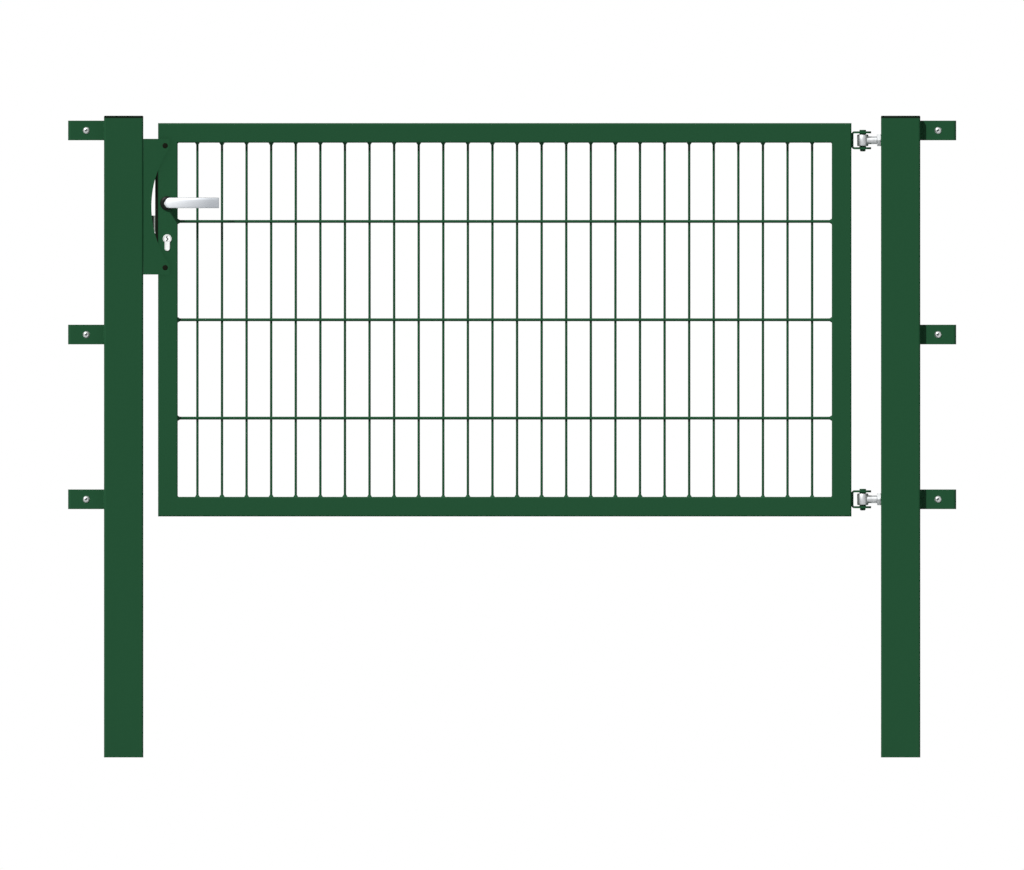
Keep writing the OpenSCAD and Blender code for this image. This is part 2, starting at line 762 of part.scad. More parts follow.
hinge_pin(hinge_zs[1]);  // bottom_hinge_pin
lock_face_plate();
lock_case();
lock_cylinder();
rosette(-1);  // front_rosette
rosette(1);  // rear_rosette
lever(-1);  // front_lever
lever(1);  // rear_lever
spindle();
latch_bolt();
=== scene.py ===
import math

import bmesh
import bpy
from mathutils import Matrix, Vector


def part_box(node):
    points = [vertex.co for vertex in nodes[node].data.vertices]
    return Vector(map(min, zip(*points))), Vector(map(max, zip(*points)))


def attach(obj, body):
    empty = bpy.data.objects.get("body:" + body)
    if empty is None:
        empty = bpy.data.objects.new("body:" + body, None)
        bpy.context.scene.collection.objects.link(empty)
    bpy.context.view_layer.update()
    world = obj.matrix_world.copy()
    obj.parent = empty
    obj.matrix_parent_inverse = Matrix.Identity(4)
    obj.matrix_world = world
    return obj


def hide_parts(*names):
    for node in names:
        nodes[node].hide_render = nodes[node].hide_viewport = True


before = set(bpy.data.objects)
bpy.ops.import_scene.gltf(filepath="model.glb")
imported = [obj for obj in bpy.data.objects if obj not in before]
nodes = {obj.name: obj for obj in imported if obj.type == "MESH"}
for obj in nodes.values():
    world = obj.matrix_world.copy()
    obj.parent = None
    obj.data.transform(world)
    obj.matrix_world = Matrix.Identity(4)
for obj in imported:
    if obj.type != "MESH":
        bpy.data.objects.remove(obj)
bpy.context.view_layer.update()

# Posts: 80 mm square steel tubes with round corners, hot dip galvanised and coated moss green.
# They are set in the ground, and each one has a plate or bolts on two of its sides.

MOSS_GREEN = (0.0109, 0.0655, 0.0252, 1)
GREEN_DUSTY = (0.0180, 0.0730, 0.0330, 1)


class Shade:
    """A socket in a material's tree. Sums on it add Math nodes, and node() adds any other node."""

    def __init__(self, tree, socket=None):
        self.tree = tree
        self.socket = socket

    def node(self, kind, settings=None, inputs=None, out=0):
        made = self.tree.nodes.new(kind)
        for name, value in (settings or {}).items():
            if name == "stops":
                ramp = made.color_ramp.elements
                while len(ramp) < len(value):
                    ramp.new(1)
                for stop, (place, colour) in zip(ramp, value):
                    stop.position = place
                    stop.color = colour
            else:
                setattr(made, name, value)
        for name, value in (inputs or {}).items():
            if isinstance(value, Shade):
                self.tree.links.new(value.socket, made.inputs[name])
            else:
                made.inputs[name].default_value = value
        return Shade(self.tree, made.outputs[out])

    def math(self, operation, first, second):
        return self.node("ShaderNodeMath", {"operation": operation}, {0: first, 1: second})

    def __add__(self, other):
        return self.math("ADD", self, other)

    def __radd__(self, other):
        return self.math("ADD", other, self)

    def __sub__(self, other):
        return self.math("SUBTRACT", self, other)

    def __rsub__(self, other):
        return self.math("SUBTRACT", other, self)

    def __mul__(self, other):
        return self.math("MULTIPLY", self, other)

    def __rmul__(self, other):
        return self.math("MULTIPLY", other, self)

    def clamped(self, low, high):
        """This value from low to high, spread over 0 to 1 and held there."""
        return self.node("ShaderNodeMapRange", {"clamp": True}, {0: self, 1: low, 2: high, 3: 0.0, 4: 1.0})

    def mixed(self, first, second):
        """The colour that goes from first to second as this value goes from 0 to 1."""
        return self.node(
            "ShaderNodeMix", {"data_type": "RGBA"}, {"Factor": self, 6: first, 7: second}, out=2
        )


def start_material(name, constants):
    """A new material, its tree to draw in, and a function that links a value to the shader."""
    material = bpy.data.materials.new(name)
    material.use_nodes = True
    tree = material.node_tree
    shader = tree.nodes["Principled BSDF"]
    for socket, value in constants.items():
        shader.inputs[socket].default_value = value

    def feed(socket, value):
        tree.links.new(value.socket, shader.inputs[socket])

    return material, Shade(tree), feed


def noise(draw, place, scale, detail=2.0, roughness=0.5):
    return draw.node(
        "ShaderNodeTexNoise",
        {},
        {"Vector": place, "Scale": scale, "Detail": detail, "Roughness": roughness},
    )


def object_place(draw):
    return draw.node("ShaderNodeTexCoord", out=3)


def bump(draw, height, strength, distance):
    return draw.node(
        "ShaderNodeBump", {}, {"Strength": strength, "Distance": distance, "Height": height}
    )


def powder_coat(name, peel_scale=520.0):
    """Satin polyester powder: an even moss green with a fine orange peel and a little dust on top."""
    material, draw, feed = start_material(name, {"Specular IOR Level": 0.10, "IOR": 1.5})
    place = object_place(draw)
    drift = noise(draw, place, 2.6, 3.0)
    cloud = noise(draw, place, 38.0, 4.0, 0.6)
    peel = noise(draw, place, peel_scale, 2.0, 0.45)
    grain = noise(draw, place, 2600.0, 1.0)
    normal = draw.node("ShaderNodeNewGeometry", out=1)
    up = draw.node("ShaderNodeSeparateXYZ", {}, {0: normal}, out=2)
    dust = up.clamped(0.55, 1.0) * cloud.clamped(0.35, 0.75) * 0.45
    tone = drift.clamped(0.3, 0.7) * 0.5 + grain.clamped(0.2, 0.8) * 0.5
    light_green = tuple(c * 1.03 for c in MOSS_GREEN[:3]) + (1,)
    deep_green = tuple(c * 0.97 for c in MOSS_GREEN[:3]) + (1,)
    feed("Base Color", dust.mixed(tone.mixed(deep_green, light_green), GREEN_DUSTY))
    feed("Roughness", 0.50 + 0.10 * cloud + 0.20 * dust)
    feed("Normal", bump(draw, peel * 0.8 + grain * 0.2, 0.16, 0.0002))
    return material


green_coat = powder_coat("green_powder_coat")


def dress(node, material):
    """Gives a CAD node its finish."""
    slots = nodes[node].data.materials
    slots.clear()
    slots.append(material)


for post in ("hinge_post", "latch_post"):
    dress(post, green_coat)

# Post caps: moulded black polyethylene, a chamfered lid with a hollow plug pressed into the tube.
# The lid's top is eroded like the mould, with a fine grain that keeps it matt.


def moulded_plastic(name, colour, roughness, grain_scale, gloss=0.12):
    material, draw, feed = start_material(name, {"Specular IOR Level": gloss})
    place = object_place(draw)
    haze = noise(draw, place, 30.0, 3.0)
    grain = noise(draw, place, grain_scale, 3.0, 0.6)
    pale = tuple(c * 1.3 + 0.0008 for c in colour) + (1,)
    feed("Base Color", haze.clamped(0.3, 0.8).mixed(tuple(colour) + (1,), pale))
    feed("Roughness", roughness + 0.12 * haze)
    feed("Normal", bump(draw, grain, 0.3, 0.00025))
    return material


cap_plastic = moulded_plastic("black_cap_plastic", (0.0030, 0.0095, 0.0042), 0.62, 900.0, 0.06)
for post in ("hinge_post", "latch_post"):
    dress(post + "_cap", cap_plastic)

# Fence brackets: 40 x 4 mm flat bar with its outer end bent back, welded to the outer side of
# a post, and a loose plate behind each one that clamps the end wires of a fence mat.

POSTS = {"hinge_post": 1, "latch_post": -1}
LEVELS = ("top", "middle", "bottom")
WELD_RADIUS = 0.0021
WELD_STEP = 0.0014

for post in POSTS:
    for level in LEVELS:
        dress(f"{post}_{level}_bracket", green_coat)
    dress(f"{post}_clamp_plates", green_coat)


def add_input(tree, name, kind, default=None):
    socket = tree.interface.new_socket(name, in_out="INPUT", socket_type=kind)
    if default is not None:
        socket.default_value = default
    return socket.identifier


def wire_up(tree, links):
    for source, out, target, into in links:
        tree.links.new(source.outputs[out], target.inputs[into])


def bead_tree():
    """Weld bead along the edges of a mesh: overlapping drops of slightly uneven size."""
    tree = bpy.data.node_groups.new("weld_bead", "GeometryNodeTree")
    add_input(tree, "Path", "NodeSocketGeometry")
    ids = {
        "Radius": add_input(tree, "Radius", "NodeSocketFloat", WELD_RADIUS),
        "Step": add_input(tree, "Step", "NodeSocketFloat", WELD_STEP),
        "Seed": add_input(tree, "Seed", "NodeSocketInt", 7),
        "Coat": add_input(tree, "Coat", "NodeSocketMaterial"),
    }
    tree.interface.new_socket("Bead", in_out="OUTPUT", socket_type="NodeSocketGeometry")
    make = tree.nodes.new
    given = make("NodeGroupInput")
    curve = make("GeometryNodeMeshToCurve")
    spaced = make("GeometryNodeResampleCurve")
    spaced.mode = "LENGTH"
    drop = make("GeometryNodeMeshUVSphere")
    drop.inputs["Segments"].default_value = 10
    drop.inputs["Rings"].default_value = 6
    size = make("FunctionNodeRandomValue")
    size.data_type = "FLOAT"
    size.inputs[2].default_value = 0.86
    size.inputs[3].default_value = 1.0
    placed = make("GeometryNodeInstanceOnPoints")
    solid = make("GeometryNodeRealizeInstances")
    smooth = make("GeometryNodeSetShadeSmooth")
    coat = make("GeometryNodeSetMaterial")
    result = make("NodeGroupOutput")
    wire_up(tree, [
        (given, "Path", curve, "Mesh"),
        (curve, "Curve", spaced, "Curve"),
        (given, "Step", spaced, "Length"),
        (given, "Radius", drop, "Radius"),
        (given, "Seed", size, "Seed"),
        (spaced, "Curve", placed, "Points"),
        (drop, "Mesh", placed, "Instance"),
        (size, 1, placed, "Scale"),
        (placed, "Instances", solid, "Geometry"),
        (solid, "Geometry", smooth, "Geometry"),
        (smooth, "Geometry", coat, "Geometry"),
        (given, "Coat", coat, "Material"),
        (coat, "Geometry", result, "Bead"),
    ])
    return tree, ids


def settle(name, base_mesh, tree, ids, values):
    """Runs a Geometry Nodes tree on a mesh and keeps the result as a plain mesh."""
    holder = bpy.data.objects.new(name + "_base", base_mesh)
    bpy.context.scene.collection.objects.link(holder)
    modifier = holder.modifiers.new(name, "NODES")
    modifier.node_group = tree
    for key, value in values.items():
        modifier[ids[key]] = value
    graph = bpy.context.evaluated_depsgraph_get()
    mesh = bpy.data.meshes.new_from_object(holder.evaluated_get(graph))
    mesh.name = name
    holder.modifiers.clear()
    bpy.data.objects.remove(holder)
    return mesh


def add_piece(name, mesh, body, stands_for=()):
    """Puts a finished mesh in the scene as a piece that rides on a CAD body."""
    piece = bpy.data.objects.new(name, mesh)
    bpy.context.scene.collection.objects.link(piece)
    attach(piece, body)
    if stands_for:
        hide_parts(*stands_for)
    return piece


def line_mesh(lines):
    """A mesh of single edges, one from each pair of points."""
    mesh = bpy.data.meshes.new("lines")
    points = [point for line in lines for point in line]
    mesh.from_pydata(points, [(i, i + 1) for i in range(0, len(points), 2)], [])
    return mesh


weld, weld_ids = bead_tree()


def weld_piece(name, lines, body, radius=WELD_RADIUS, seed=7):
    values = {"Radius": radius, "Step": radius * WELD_STEP / WELD_RADIUS, "Seed": seed, "Coat": green_coat}
    add_piece(name, settle(name, line_mesh(lines), weld, weld_ids, values), body)


bracket_welds = []
for post, side in POSTS.items():
    post_low, post_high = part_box(post)
    face_x = post_high.x if side > 0 else post_low.x
    for level in LEVELS:
        low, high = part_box(f"{post}_{level}_bracket")
        bar_back = low.y + 0.004
        for y in (low.y, bar_back):
            ends = (low.z + 2 * WELD_RADIUS, high.z - 2 * WELD_RADIUS)
            bracket_welds.append([(face_x + side * 0.0005, y, z) for z in ends])
weld_piece("bracket_welds", bracket_welds, "posts")

# Clamp bolts: M8 button head bolts with a hexagon socket, a washer and a nut, bright zinc plated.
# Each one goes through a bracket from the front and holds the clamp plate behind it.


def zinc_plate(name, tint=(0.60, 0.61, 0.62), roughness=0.34, metal=0.86):
    """Bright zinc: a cool grey metal with a mottled sheen and fine scratches."""
    material, draw, feed = start_material(name, {})
    place = object_place(draw)
    cloud = noise(draw, place, 120.0, 4.0, 0.6)
    spangle = noise(draw, place, 700.0, 2.0)
    light = tuple(c * 1.12 for c in tint) + (1,)
    dark = tuple(c * 0.88 for c in tint) + (1,)
    feed("Base Color", cloud.clamped(0.3, 0.7).mixed(dark, light))
    feed("Metallic", metal + 0.08 * cloud)
    feed("Roughness", roughness + 0.14 * spangle)
    feed("Normal", bump(draw, cloud * 0.6 + spangle * 0.4, 0.16, 0.0002))
    return material


zinc = zinc_plate("bright_zinc")

AXIS_FRONT = Matrix.Rotation(math.pi / 2, 4, "X")
AXIS_RIGHT = Matrix.Rotation(math.pi / 2, 4, "Y")


def turned(bm, rings, place, segments=48, loop=False):
    """Turns (radius, height) rings round an axis. A radius or height may be a function of the angle."""
    rows = []
    for radius, height in rings:
        row = []
        for i in range(1 if radius == 0 else segments):
            angle = 2 * math.pi * i / segments
            r = radius(angle) if callable(radius) else radius
            z = height(angle) if callable(height) else height
            row.append(bm.verts.new(place @ Vector((r * math.cos(angle), r * math.sin(angle), z))))
        rows.append(row)
    pairs = list(zip(rows, rows[1:])) + ([(rows[-1], rows[0])] if loop else [])
    for near, far in pairs:
        for i in range(segments):
            j = (i + 1) % segments
            corners = [near[i % len(near)], near[j % len(near)], far[j % len(far)], far[i % len(far)]]
            bm.faces.new(list(dict.fromkeys(corners)))


def finished(bm, name, material, sharp=35):
    """Closes a bmesh off: outward faces, smooth shading with sharp edges kept, one material."""
    bmesh.ops.recalc_face_normals(bm, faces=bm.faces)
    mesh = bpy.data.meshes.new(name)
    bm.to_mesh(mesh)
    bm.free()
    mesh.shade_smooth()
    mesh.set_sharp_from_angle(angle=math.radians(sharp))
    mesh.materials.append(material)
    return mesh


def hexagon(across_flats, turn=0.0):
    """Radius of a hexagon as a function of the angle, with a flat at the angle turn."""
    sixth = math.pi / 3
    return lambda a: across_flats / 2 / math.cos((a - turn + sixth / 2) % sixth - sixth / 2)


def hex_nut(bm, across_flats, thickness, bore, place, turn=0.0):
    """Hexagon nut with its corners chamfered at 30 degrees and its thread's mouth eased."""
    outline = hexagon(across_flats, turn)
    rim = across_flats / 2 * 0.96
    ease = bore * 0.12

    def rise(angle):
        return (outline(angle) - rim) * math.tan(math.radians(30))

    turned(bm, [
        (bore, ease), (bore + ease, 0), (rim, 0), (outline, rise),
        (outline, lambda a: thickness - rise(a)), (rim, thickness),
        (bore + ease, thickness), (bore, thickness - ease),
    ], place, 72, loop=True)


def threaded_rod(bm, diameter, pitch, start, end, place, segments=36):
    """Rod with a 60 degree thread that runs out into a chamfer at its far end."""
    crest = diameter / 2
    depth = pitch * 0.6
    steps = max(2, round((end - start) / pitch * 6))
    rings = [(0, start)]
    for k in range(steps + 1):
        z = start + (end - start) * k / steps
        fade = min(1.0, (end - z) / pitch)

        def radius(angle, z=z, fade=fade):
            wave = (z / pitch - angle / (2 * math.pi)) % 1.0
            return crest - depth * abs(2 * wave - 1) - (1 - fade) * depth * 0.6

        rings.append((radius, z))
    rings.append((0, end))
    turned(bm, rings, place, segments)


dull_zinc = zinc_plate("dull_zinc", (0.55, 0.57, 0.56), 0.36)
# A dark grey metal for the hexagon sockets: painted shade for their depths.
socket_shade_metal = zinc_plate("oily_socket", (0.19, 0.20, 0.20), 0.55, 0.5)

BUTTON_D, BUTTON_H = 0.014, 0.0044
SOCKET_AF, SOCKET_DEEP = 0.005, 0.0030
CLAMP_NUT_AF, CLAMP_NUT_H = 0.013, 0.0065
WASHER_D, WASHER_T = 0.016, 0.0016
CLAMP_THREAD_D, CLAMP_THREAD_PITCH, CLAMP_TAIL = 0.008, 0.00125, 0.003


def button_head(bm, place, turn):
    """Button head seen from its top: a low dome with a hexagon socket."""
    half, socket = BUTTON_D / 2, hexagon(SOCKET_AF, turn)
    ball = (half ** 2 + BUTTON_H ** 2) / (2 * BUTTON_H)

    def dome(radius):
        return math.sqrt(ball ** 2 - radius ** 2) - ball + BUTTON_H

    rings = [(0, BUTTON_H - SOCKET_DEEP - 0.0006), (socket, BUTTON_H - SOCKET_DEEP)]
    top = dome(SOCKET_AF * 0.58) - 0.0002
    rings += [(socket, top), (SOCKET_AF * 0.62, dome(SOCKET_AF * 0.62))]
    rings += [(half * s, dome(half * s)) for s in (0.6, 0.75, 0.87, 0.95, 0.99)]
    rings += [(half, 0.0003), (half * 0.985, 0), (0, 0)]
    turned(bm, rings, place, 48)


for post, side in POSTS.items():
    bm = bmesh.new()
    low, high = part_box(f"{post}_clamp_bolts")
    bolt_x = (low.x + high.x) / 2
    bolt_levels = []
    for index, level in enumerate(LEVELS):
        bar_low, bar_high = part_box(f"{post}_{level}_bracket")
        z = (bar_low.z + bar_high.z) / 2
        bolt_levels.append(z)
        head = Matrix.Translation((bolt_x, bar_low.y, z)) @ AXIS_FRONT
        button_head(bm, head, 0.35 + 0.4 * index + 0.2 * side)
        plate_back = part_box(f"{post}_clamp_plates")[1].y
        nut_y = plate_back + WASHER_T
        back = Matrix.Translation((bolt_x, 0, z)) @ AXIS_FRONT.inverted()
        turned(bm, [(0, bar_low.y), (0.0039, bar_low.y), (0.0039, plate_back), (0, plate_back)], back, 24)
        washer = Matrix.Translation((bolt_x, plate_back, z)) @ AXIS_FRONT.inverted()
        turned(bm, [(0.0040, 0), (WASHER_D / 2 - 0.0002, 0), (WASHER_D / 2, 0.0003),
                    (WASHER_D / 2, WASHER_T - 0.0003), (WASHER_D / 2 - 0.0003, WASHER_T), (0.0040, WASHER_T)],
               washer, 36, loop=True)
        nut = Matrix.Translation((bolt_x, nut_y, z)) @ AXIS_FRONT.inverted()
        hex_nut(bm, CLAMP_NUT_AF, CLAMP_NUT_H, CLAMP_THREAD_D / 2 - 0.0003, nut, 0.5 + 0.3 * index)
        threaded_rod(bm, CLAMP_THREAD_D, CLAMP_THREAD_PITCH, plate_back,
                     nut_y + CLAMP_NUT_H + CLAMP_TAIL, back)
    piece = f"{post}_clamp_bolt_set"
    bolt_mesh = finished(bm, piece, dull_zinc)
    # The socket faces take the dark metal as painted shade.
    bolt_mesh.materials.append(socket_shade_metal)
    for face in bolt_mesh.polygons:
        spot = face.center
        away = min(math.hypot(spot.x - bolt_x, spot.z - z) for z in bolt_levels)
        if away < SOCKET_AF * 0.57 and spot.y < bar_low.y:
            face.material_index = 1
    add_piece(piece, bolt_mesh, "posts", [f"{post}_clamp_bolts"])

# Hinge eyes: forged M16 eye bolts, hot dip galvanised. Each one screws into the hinge post and is
# locked by a nut outside and one inside, and the hinge pin turns in its eye.

galvanised = zinc_plate("galvanised_steel", (0.47, 0.48, 0.485), 0.40)

SHANK_D, SHANK_PITCH = 0.016, 0.002
NUT_AF, NUT_T = 0.024, 0.008
PIN_D = 0.010
POST_WALL = 0.003

hinge_post_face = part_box("hinge_post")[0].x
for end in ("top", "bottom"):
    low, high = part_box(f"{end}_hinge_eye")
    eye_r = (high.y - low.y) / 2
    pin_x, pin_y, z = low.x + eye_r, (low.y + high.y) / 2, (low.z + high.z) / 2
    eye_h = high.z - low.z
    edge, mouth = 0.0015, 0.0006
    bore = PIN_D / 2 + 0.00015
    bm = bmesh.new()
    turned(bm, [
        (bore, mouth), (bore + mouth, 0), (eye_r - edge, 0), (eye_r - edge * 0.3, edge * 0.45), (eye_r, edge),
        (eye_r, eye_h - edge), (eye_r - edge * 0.3, eye_h - edge * 0.45), (eye_r - edge, eye_h),
        (bore + mouth, eye_h), (bore, eye_h - mouth),
    ], Matrix.Translation((pin_x, pin_y, z - eye_h / 2)), 72, loop=True)
    along = Matrix.Translation((pin_x, pin_y, z)) @ AXIS_RIGHT
    thread_start = hinge_post_face - NUT_T - pin_x
    turned(bm, [(0, bore + 0.002), (SHANK_D / 2 - 0.0001, bore + 0.002), (SHANK_D / 2 - 0.0001, thread_start - 0.0005),
                (SHANK_D / 2 - 0.0008, thread_start + 0.0004), (0, thread_start + 0.0004)], along, 48)
    threaded_rod(bm, SHANK_D, SHANK_PITCH, thread_start, high.x - pin_x, along, 48)
    piece = f"{end}_eye_bolt"
    add_piece(piece, finished(bm, piece, galvanised), "posts", [f"{end}_hinge_eye"])

    bm = bmesh.new()
    for x in (hinge_post_face - NUT_T, hinge_post_face + POST_WALL):
        place = Matrix.Translation((x, pin_y, z)) @ AXIS_RIGHT
        hex_nut(bm, NUT_AF, NUT_T, SHANK_D / 2 - 0.0006, place)
    piece = f"{end}_eye_nut_pair"
    add_piece(piece, finished(bm, piece, galvanised), "posts", [f"{end}_hinge_nuts"])

# Stop plate and keep: a laser cut 3 mm plate with a round hand cut-out, welded to a box section
# keep on the latch post and coated with it. Two rubber buffers are pushed into the plate's holes.

dress("stop_plate", green_coat)
dress("keep", green_coat)

buffer_rubber = moulded_plastic("buffer_rubber", (0.0040, 0.0050, 0.0020), 0.75, 500.0, 0.07)
buffers = []

for end in ("upper", "lower"):
    low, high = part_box(f"{end}_buffer")
    plate_low, plate_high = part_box("stop_plate")
    radius = (high.x - low.x) / 2
    front, back = plate_low.y - low.y, high.y - plate_high.y
    plate_t = plate_high.y - plate_low.y
    neck = 0.003
    bm = bmesh.new()
    place = Matrix.Translation(((low.x + high.x) / 2, plate_high.y, (low.z + high.z) / 2)) @ AXIS_FRONT
    turned(bm, [
        (0, -back), (radius * 0.45, -back), (radius * 0.75, -back * 0.93), (radius * 0.93, -back * 0.72),
        (radius, -back * 0.4), (radius, 0), (neck, 0), (neck, plate_t), (radius, plate_t),
        (radius * 0.98, plate_t + front * 0.4), (radius * 0.86, plate_t + front * 0.8),
        (radius * 0.6, plate_t + front), (0, plate_t + front),
    ], place, 40)
    piece = f"{end}_buffer_rubber"
    buffers.append(add_piece(piece, finished(bm, piece, buffer_rubber), "posts", [f"{end}_buffer"]))

latch_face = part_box("latch_post")[1].x
keep_low, keep_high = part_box("keep")
stitch = 0.032
stitches = []
for z in (keep_low.z + 0.006, (keep_low.z + keep_high.z - stitch) / 2, keep_high.z - 0.006 - stitch):
    stitches.append([(latch_face + 0.0004, keep_high.y, z), (latch_face + 0.0004, keep_high.y, z + stitch)])
weld_piece("keep_welds", stitches, "posts", 0.0019, 11)

# Leaf frame: four lengths of 40 mm square tube, mitred, welded all round and ground flush on the
# outer faces, so that a bead still shows in the inner corners only.

for node in ("latch_stile", "hinge_stile", "top_rail", "bottom_rail"):
    dress(node, green_coat)

panel_low, panel_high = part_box("mat_panel")
leaf_low, leaf_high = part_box("latch_stile")
frame_front, frame_back = leaf_low.y, leaf_high.y
corner_welds = []
for x, side in ((panel_low.x, 1), (panel_high.x, -1)):
    for z, rise in ((panel_low.z, 1), (panel_high.z, -1)):
        spot = (x + side * 0.0004, z + rise * 0.0004)
        corner_welds.append([(spot[0], frame_front + 0.004, spot[1]), (spot[0], frame_back - 0.004, spot[1])])
weld_piece("frame_corner_welds", corner_welds, "leaf", 0.0009, 3)

# Mat: upright 5 mm wires between twin 6 mm cross wires, spot welded where they cross and welded
# to the frame at every end, then coated with it. The coat softens each weld.

UPRIGHT_D, CROSS_D = 0.005, 0.006
UPRIGHT_PITCH, CROSS_PITCH = 0.050, 0.200
WIRE_SINK = 0.0006


def mat_tree():
    """Rows of wires with their end welds and spot welds, from the mat's sizes."""
    tree = bpy.data.node_groups.new("fence_mat", "GeometryNodeTree")
    add_input(tree, "Base", "NodeSocketGeometry")
    ids = {name: add_input(tree, name, "NodeSocketFloat") for name in (
        "Width", "Height", "Upright pitch", "Cross pitch", "Upright radius", "Cross radius", "Cross offset",
        "Weld height", "Weld flare")}
    ids["Uprights"] = add_input(tree, "Uprights", "NodeSocketInt")
    ids["Crosses"] = add_input(tree, "Crosses", "NodeSocketInt")
    ids["Centre"] = add_input(tree, "Centre", "NodeSocketVector")
    ids["Seed"] = add_input(tree, "Seed", "NodeSocketInt")
    ids["Coat"] = add_input(tree, "Coat", "NodeSocketMaterial")
    tree.interface.new_socket("Mat", in_out="OUTPUT", socket_type="NodeSocketGeometry")
    given = tree.nodes.new("NodeGroupInput")

    def add(kind, settings=None, inputs=None, out=0):
        made = tree.nodes.new(kind)
        for name, value in (settings or {}).items():
            setattr(made, name, value)
        for name, value in (inputs or {}).items():
            if isinstance(value, bpy.types.NodeSocket):
                tree.links.new(value, made.inputs[name])
            else:
                made.inputs[name].default_value = value
        return made.outputs[out]

    def sum_of(operation, first, second):
        return add("ShaderNodeMath", {"operation": operation}, {0: first, 1: second})

    def vector(x=0.0, y=0.0, z=0.0):
        return add("ShaderNodeCombineXYZ", {}, {0: x, 1: y, 2: z})

    def half(value):
        return sum_of("MULTIPLY", value, 0.5)

    def row(count, pitch, axis):
        """Points at a pitch along an axis, centred on the origin."""
        reach = sum_of("MULTIPLY", sum_of("SUBTRACT", count, 1.0), pitch)
        start = sum_of("MULTIPLY", half(reach), -1.0)
        return add("GeometryNodeMeshLine", {"mode": "OFFSET"}, {
            "Count": count, "Start Location": vector(**{axis: start}), "Offset": vector(**{axis: pitch})})

    def placed(points, shape, turn=(0, 0, 0), scale=(1, 1, 1)):
        return add("GeometryNodeInstanceOnPoints", {}, {
            "Points": points, "Instance": shape, "Rotation": turn, "Scale": scale})

    def moved(shape, offset):
        return add("GeometryNodeTransform", {}, {"Geometry": shape, "Translation": offset})

    def wire(radius, length, sides=16):
        return add("GeometryNodeMeshCylinder", {}, {
            "Vertices": sides, "Radius": radius, "Depth": length})

    def end_weld(radius):
        """A flared collar of weld at the end of a wire, wide end down."""
        wide = sum_of("ADD", radius, given.outputs["Weld flare"])
        return add("GeometryNodeMeshCone", {}, {
            "Vertices": 14, "Side Segments": 3, "Radius Top": radius, "Radius Bottom": wide,
            "Depth": given.outputs["Weld height"]})

    def uneven(low, high, seed_shift):
        seed = sum_of("ADD", given.outputs["Seed"], float(seed_shift))
        return add("FunctionNodeRandomValue", {"data_type": "FLOAT"}, {2: low, 3: high, "Seed": seed}, out=1)

    quarter = math.pi / 2
    uprights = row(given.outputs["Uprights"], given.outputs["Upright pitch"], "x")
    crosses = row(given.outputs["Crosses"], given.outputs["Cross pitch"], "z")
    parts = [placed(uprights, wire(given.outputs["Upright radius"], given.outputs["Height"]))]
    half_height, half_width = half(given.outputs["Height"]), half(given.outputs["Width"])
    weld_up = end_weld(given.outputs["Upright radius"])
    down = sum_of("MULTIPLY", half_height, -1.0)
    parts.append(moved(placed(uprights, weld_up, scale=uneven(0.85, 1.1, 1)), vector(z=down)))
    parts.append(moved(placed(uprights, weld_up, (math.pi, 0, 0), uneven(0.85, 1.1, 2)), vector(z=half_height)))
    weld_side = end_weld(given.outputs["Cross radius"])
    left = sum_of("MULTIPLY", half_width, -1.0)
    for side in (-1.0, 1.0):
        offset = sum_of("MULTIPLY", given.outputs["Cross offset"], side)
        line = moved(crosses, vector(y=offset))
        parts.append(placed(line, wire(given.outputs["Cross radius"], given.outputs["Width"]), (0, quarter, 0)))
        parts.append(moved(placed(line, weld_side, (0, quarter, 0)), vector(x=left)))
        parts.append(moved(placed(line, weld_side, (0, -quarter, 0)), vector(x=half_width)))
        spot = add("GeometryNodeMeshIcoSphere", {}, {
            "Radius": sum_of("MULTIPLY", given.outputs["Upright radius"], 1.16), "Subdivisions": 2})
        flat = add("GeometryNodeTransform", {}, {"Geometry": spot, "Scale": (1.0, 0.72, 1.12)})
        spot_row = add("GeometryNodeRealizeInstances", {}, {"Geometry": placed(
            uprights, flat, scale=uneven(0.92, 1.08, 4 + int(side)))})
        touch = sum_of("MULTIPLY", given.outputs["Cross offset"], 0.5 * side)
        parts.append(moved(placed(crosses, spot_row), vector(y=touch)))
    joined = tree.nodes.new("GeometryNodeJoinGeometry")
    for part in reversed(parts):
        tree.links.new(part, joined.inputs[0])
    centred = moved(joined.outputs[0], given.outputs["Centre"])
    solid = add("GeometryNodeRealizeInstances", {}, {"Geometry": centred})
    smooth = add("GeometryNodeSetShadeSmooth", {}, {"Geometry": solid})
    coat = add("GeometryNodeSetMaterial", {}, {"Geometry": smooth, "Material": given.outputs["Coat"]})
    result = tree.nodes.new("NodeGroupOutput")
    tree.links.new(coat, result.inputs[0])
    return tree, ids


panel_w, panel_h = panel_high.x - panel_low.x, panel_high.z - panel_low.z
mat, mat_ids = mat_tree()
mat_mesh = settle("fence_mat", line_mesh([]), mat, mat_ids, {
    "Width": panel_w,
    "Height": panel_h,
    "Upright pitch": UPRIGHT_PITCH,
    "Cross pitch": CROSS_PITCH,
    "Upright radius": UPRIGHT_D / 2,
    "Cross radius": CROSS_D / 2,
    "Cross offset": (UPRIGHT_D + CROSS_D) / 2 - WIRE_SINK,
    "Weld height": 0.0045,
    "Weld flare": 0.0028,
    "Uprights": math.floor(panel_w / UPRIGHT_PITCH - 1) + 1,
    "Crosses": math.floor(panel_h / CROSS_PITCH - 1) + 1,
    "Centre": (panel_low + panel_high) / 2,
    "Seed": 21,
    "Coat": green_coat,
})
mat_mesh.set_sharp_from_angle(angle=math.radians(50))
add_piece("fence_mat", mat_mesh, "leaf", ["mat_panel"])

# Hinge brackets: 25 x 4 mm strap bent to a U and welded to the hinge stile, with a collar inside
# each leg, and a riveted pin. They are coated with the leaf, pins and all.

